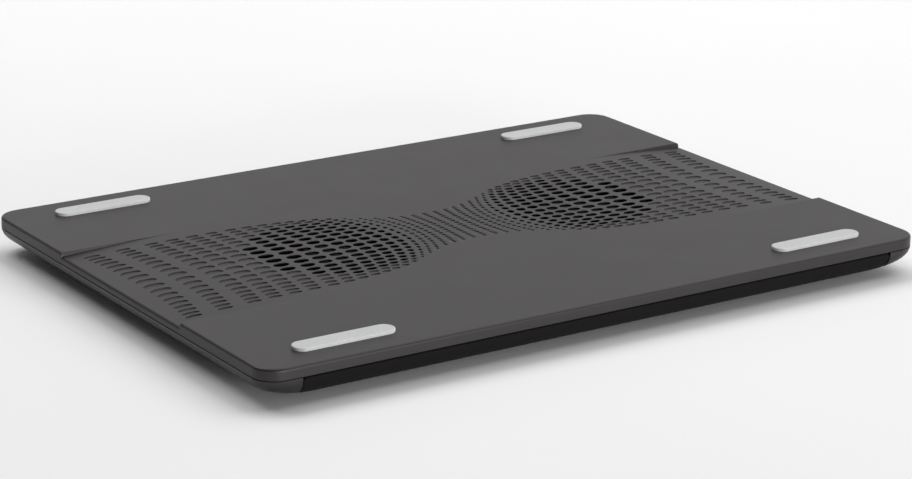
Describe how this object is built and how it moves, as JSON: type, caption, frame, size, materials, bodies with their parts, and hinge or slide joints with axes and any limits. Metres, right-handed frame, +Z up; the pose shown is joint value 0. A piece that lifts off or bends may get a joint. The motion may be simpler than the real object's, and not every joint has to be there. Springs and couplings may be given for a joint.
{
  "type": "laptop cooling pad",
  "caption": "Slim tray with round corners, an oval-vented deck over axial fans, pale grip strips on top and a padded underside; blows air at a laptop.",
  "frame": {"origin": "on the surface that the feet stand on, under the middle of the pad", "axes": "+X along the long edge to the right, +Y from the front edge to the rear edge, +Z up"},
  "size_m": [0.36, 0.264, 0.02],
  "materials": {
    "deck_plastic": "fine matte moulded texture, warm dark grey",
    "shell_plastic": "fine matte moulded texture",
    "neoprene": "fine-grained black neoprene skin over foam",
    "pale_rubber": "satin pale grey silicone rubber",
    "black_rubber": "matte black rubber",
    "screw_steel": "black zinc plated",
    "plated_shell": "bright nickel-plated sheet",
    "inlet_plastic": "matte black",
    "contact_gold": "gold-plated",
    "circuit_board": "green solder mask",
    "chip_plastic": "matte black",
    "fan_plastic": "satin black",
    "impeller_plastic": "satin black",
    "rotor_steel": "drawn steel",
    "magnet": "bonded ferrite",
    "shaft_steel": "ground steel",
    "bronze": "sintered bronze",
    "white_plastic": "natural nylon",
    "core_steel": "stacked laminations",
    "copper_wire": "enamelled copper winding",
    "red_lead": "red PVC insulation",
    "black_lead": "black PVC insulation"
  },
  "bodies": {
    "casing": {"top_cover": "deck_plastic", "bottom_shell": "shell_plastic", "lap_cushion": "neoprene", "grip_strip_front_left": "pale_rubber", "rubber_foot_front_left": "black_rubber", "grip_strip_front_right": "pale_rubber", "rubber_foot_front_right": "black_rubber", "grip_strip_rear_left": "pale_rubber", "rubber_foot_rear_left": "black_rubber", "grip_strip_rear_right": "pale_rubber", "rubber_foot_rear_right": "black_rubber", "case_screws": "screw_steel", "board_screws": "screw_steel", "power_inlet_shell": "plated_shell", "power_inlet_tongue": "inlet_plastic", "power_inlet_contacts": "contact_gold", "control_board": "circuit_board", "board_components": "chip_plastic", "fan_frame_left": "fan_plastic", "sleeve_bearing_left": "bronze", "thrust_pad_left": "white_plastic", "fan_board_left": "circuit_board", "stator_core_left": "core_steel", "stator_coils_left": "copper_wire", "fan_screws_left": "screw_steel", "lead_header_left": "white_plastic", "lead_plug_left": "white_plastic", "fan_lead_red_left": "red_lead", "fan_lead_black_left": "black_lead", "fan_frame_right": "fan_plastic", "sleeve_bearing_right": "bronze", "thrust_pad_right": "white_plastic", "fan_board_right": "circuit_board", "stator_core_right": "core_steel", "stator_coils_right": "copper_wire", "fan_screws_right": "screw_steel", "lead_header_right": "white_plastic", "lead_plug_right": "white_plastic", "fan_lead_red_right": "red_lead", "fan_lead_black_right": "black_lead"},
    "rotor_left": {"impeller_left": "impeller_plastic", "rotor_cup_left": "rotor_steel", "rotor_magnet_left": "magnet", "fan_shaft_left": "shaft_steel"},
    "rotor_right": {"impeller_right": "impeller_plastic", "rotor_cup_right": "rotor_steel", "rotor_magnet_right": "magnet", "fan_shaft_right": "shaft_steel"}
  },
  "joints": [
    {"name": "fan_left_spin", "type": "hinge", "parent": "casing", "child": "rotor_left", "pos_m": [-0.0677, 0, 0.0098], "axis": [0, 0, 1], "continuous": true},
    {"name": "fan_right_spin", "type": "hinge", "parent": "casing", "child": "rotor_right", "pos_m": [0.0677, 0, 0.0098], "axis": [0, 0, 1], "continuous": true}
  ]
}
